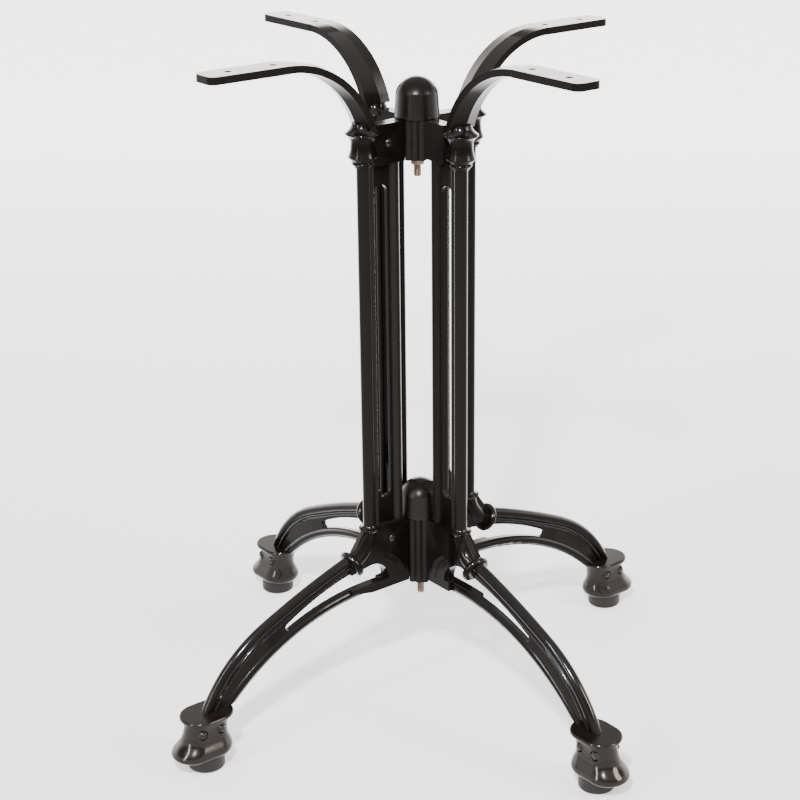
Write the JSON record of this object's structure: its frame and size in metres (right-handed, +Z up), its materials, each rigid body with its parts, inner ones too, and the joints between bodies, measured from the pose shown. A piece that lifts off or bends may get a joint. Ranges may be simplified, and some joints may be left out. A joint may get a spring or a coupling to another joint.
{
  "type": "table base",
  "caption": "Cast pedestal table base: slotted columns on spread arching legs with shoes, and curved top arms drilled for screws.",
  "frame": {"origin": "on the floor, under the vertical axis of the base", "axes": "+Z up along the axis of the studs; legs and arms point along +X, +Y, -X and -Y"},
  "size_m": [0.6516, 0.6516, 0.72],
  "materials": {
    "black_enamel_casting": "semi-gloss black enamel",
    "black_enamel_hub": "semi-gloss black enamel",
    "satin_black_cap": "satin black enamel",
    "gloss_black_shoe": "gloss black enamel",
    "plated_thread": "plated",
    "plated_nut": "plated",
    "plated_washer": "plated",
    "black_screw": "blackened",
    "bright_bolt": "blackened, worn bright",
    "bright_bolt_nut": "blackened, worn bright",
    "glide_plastic": "matt",
    "plated_pin": "plated"
  },
  "bodies": {
    "root": {"leg_frame_1": "black_enamel_casting", "leg_frame_2": "black_enamel_casting", "leg_frame_3": "black_enamel_casting", "leg_frame_4": "black_enamel_casting", "upper_hub": "black_enamel_hub", "upper_dome_cap": "satin_black_cap", "upper_stud": "plated_thread", "upper_nut": "plated_nut", "upper_washer": "plated_washer", "upper_lap_screws": "black_screw", "lower_hub": "black_enamel_hub", "lower_dome_cap": "satin_black_cap", "lower_stud": "plated_thread", "lower_nut": "plated_nut", "lower_washer": "plated_washer", "lower_lap_screws": "black_screw", "shoe_1": "gloss_black_shoe", "shoe_bolts_1": "bright_bolt", "shoe_nuts_1": "bright_bolt_nut", "glide_1": "glide_plastic", "glide_stud_1": "plated_pin", "shoe_2": "gloss_black_shoe", "shoe_bolts_2": "bright_bolt", "shoe_nuts_2": "bright_bolt_nut", "glide_2": "glide_plastic", "glide_stud_2": "plated_pin", "shoe_3": "gloss_black_shoe", "shoe_bolts_3": "bright_bolt", "shoe_nuts_3": "bright_bolt_nut", "glide_3": "glide_plastic", "glide_stud_3": "plated_pin", "shoe_4": "gloss_black_shoe", "shoe_bolts_4": "bright_bolt", "shoe_nuts_4": "bright_bolt_nut", "glide_4": "glide_plastic", "glide_stud_4": "plated_pin"}
  },
  "joints": []
}
